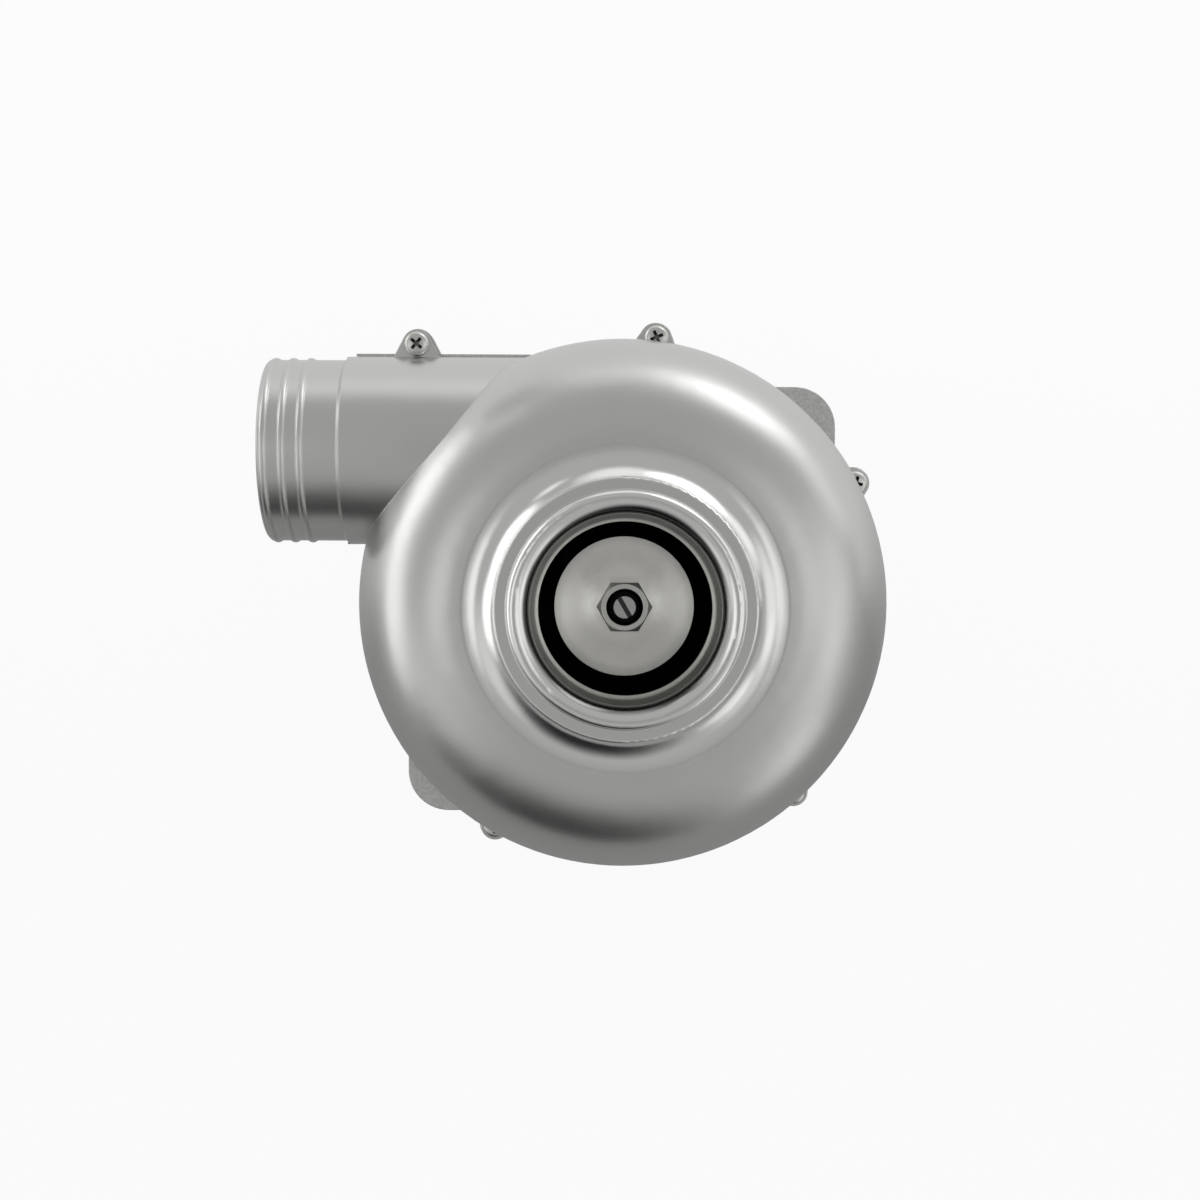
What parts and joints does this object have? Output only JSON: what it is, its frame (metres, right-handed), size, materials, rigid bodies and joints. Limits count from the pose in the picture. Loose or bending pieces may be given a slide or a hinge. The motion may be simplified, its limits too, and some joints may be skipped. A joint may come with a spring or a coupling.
{
  "type": "centrifugal blower",
  "caption": "Round cast volute with a stepped inlet collar and a ribbed tangential outlet pipe, on a finned brushless motor; it draws air in along the shaft.",
  "frame": {"origin": "on the shaft axis at the back face of the motor's end cap", "axes": "+Z along the shaft towards the inlet, the outlet pipe points along -X, +Y is the side that the pipe lies on"},
  "size_m": [0.1056, 0.0933, 0.08],
  "materials": {
    "polished_casting": "bead-blasted and clear-passivated cast aluminium, satin silver",
    "cast_casting": "as-cast aluminium, matte grey",
    "motor_castings": "extruded aluminium, satin",
    "gasket_rubber": "flat nitrile gasket",
    "black_rubber": "moulded rubber",
    "plated_screws": "zinc-nickel plated steel",
    "nut_steel": "machined stainless steel",
    "shaft_steel": "ground steel",
    "bearing_steel": "polished bearing steel",
    "spring_steel": "blued spring steel",
    "core_steel": "laminated electrical steel",
    "magnet_grey": "sintered magnet, coated grey",
    "balance_brass": "turned brass",
    "coil_copper": "enamelled copper wire",
    "white_nylon": "moulded nylon",
    "cage_nylon": "moulded nylon cage",
    "board_laminate": "glass-epoxy board with solder mask",
    "black_plastic": "moulded epoxy",
    "impeller_plastic": "black glass-filled nylon, moulded",
    "turned_aluminium": "face-turned aluminium"
  },
  "bodies": {
    "casing": {"front_casing": "polished_casting", "rear_casing": "cast_casting", "casing_gasket": "gasket_rubber", "casing_screws": "plated_screws", "motor_screws": "plated_screws", "motor_housing": "motor_castings", "end_cap": "motor_castings", "end_cap_screws": "plated_screws", "cable_grommet": "black_rubber", "stator_core": "core_steel", "stator_coils": "coil_copper", "rear_insulator": "white_nylon", "front_insulator": "white_nylon", "sensor_board": "board_laminate", "board_screws": "plated_screws", "hall_sensors": "black_plastic", "rear_bearing_outer_ring": "bearing_steel", "rear_bearing_shields": "bearing_steel", "front_bearing_outer_ring": "bearing_steel", "front_bearing_shields": "bearing_steel", "preload_washer": "spring_steel"},
    "rotor": {"shaft": "shaft_steel", "retaining_ring": "spring_steel", "rotor_core": "core_steel", "rotor_magnet": "magnet_grey", "magnet_sleeve": "shaft_steel", "rear_balance_ring": "balance_brass", "front_balance_ring": "balance_brass", "rear_bearing_inner_ring": "bearing_steel", "front_bearing_inner_ring": "bearing_steel", "spacer_sleeve": "shaft_steel", "impeller_bush": "turned_aluminium", "impeller": "impeller_plastic", "impeller_shroud": "impeller_plastic", "hub_washer": "turned_aluminium", "impeller_nut": "nut_steel"},
    "front_ball_set": {"front_bearing_balls": "bearing_steel", "front_bearing_cage": "cage_nylon"},
    "rear_ball_set": {"rear_bearing_balls": "bearing_steel", "rear_bearing_cage": "cage_nylon"}
  },
  "joints": [
    {"name": "rotor_spin", "type": "hinge", "parent": "casing", "child": "rotor", "pos_m": [0, 0, 0.0195], "axis": [0, 0, 1], "continuous": true},
    {"name": "front_balls_spin", "type": "hinge", "parent": "casing", "child": "front_ball_set", "pos_m": [0, 0, 0.0325], "axis": [0, 0, 1], "continuous": true},
    {"name": "rear_balls_spin", "type": "hinge", "parent": "casing", "child": "rear_ball_set", "pos_m": [0, 0, 0.0066], "axis": [0, 0, 1], "continuous": true}
  ],
  "couplings": [
    {"joint": "front_balls_spin", "follows": "rotor_spin", "ratio": 0.36},
    {"joint": "rear_balls_spin", "follows": "rotor_spin", "ratio": 0.36}
  ]
}
